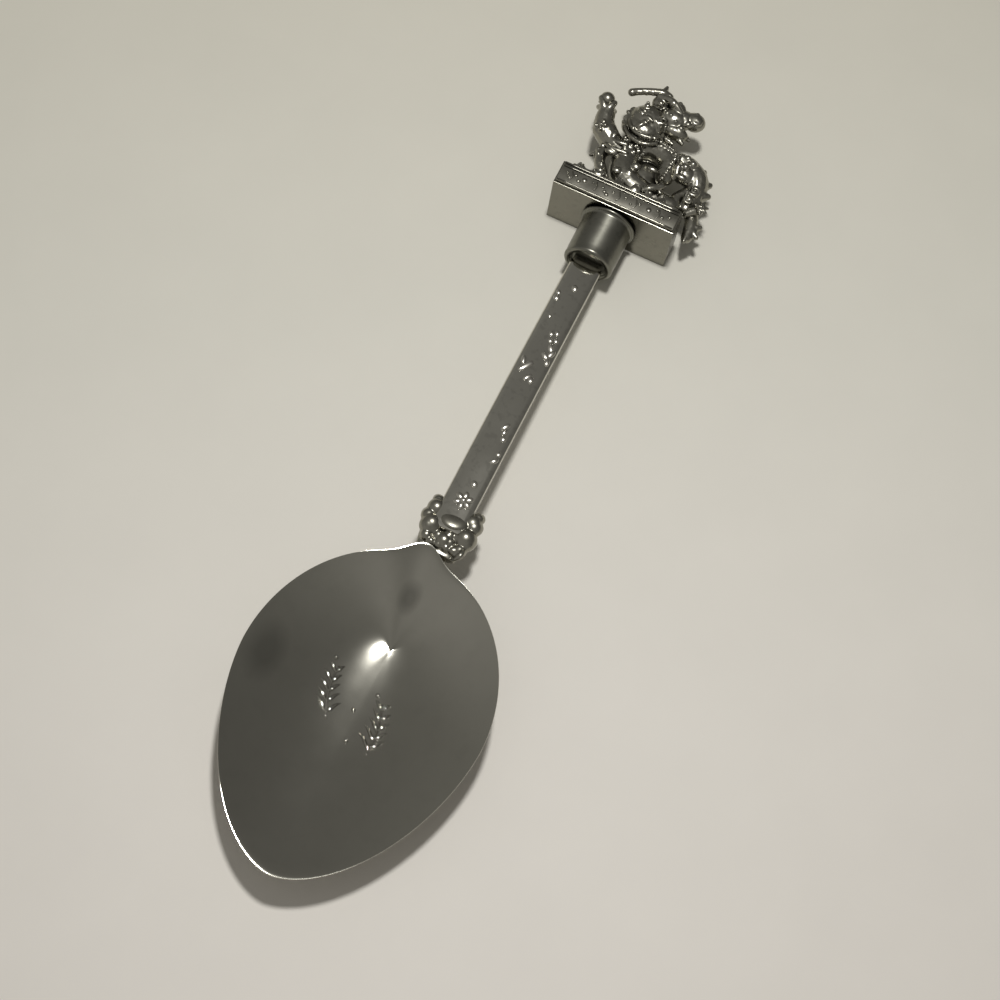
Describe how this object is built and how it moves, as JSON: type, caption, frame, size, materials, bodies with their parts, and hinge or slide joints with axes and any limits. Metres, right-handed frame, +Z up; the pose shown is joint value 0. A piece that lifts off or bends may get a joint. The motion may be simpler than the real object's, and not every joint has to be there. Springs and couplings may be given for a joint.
{
  "type": "souvenir spoon",
  "caption": "Small display spoon: egg-shaped bowl, flat relief stem, beaded neck, socket ferrule and a plinth finial with a coiled dragon holding a pearl.",
  "frame": {"origin": "on the table surface the spoon lies on, under the middle of its bounding box", "axes": "+X along the spoon from the bowl tip to the top of the finial, +Z up out of the bowl, +Y across"},
  "size_m": [0.12, 0.0314, 0.009],
  "materials": {
    "silver": "polished silver plate with a grey tarnish",
    "dark_silver": "darkened silver plate, left dull in the recesses"
  },
  "bodies": {
    "root": {"spoon_bowl": "silver", "neck_mount": "silver", "stem": "silver", "ferrule": "silver", "plinth": "silver", "front_band": "dark_silver", "cloud_base": "dark_silver", "dragon_body": "silver", "dragon_head": "silver", "dragon_horn": "silver", "raised_foreleg": "silver", "standing_foreleg": "silver", "dragon_tail": "silver", "hind_claw": "silver", "pearl": "silver"}
  },
  "joints": []
}
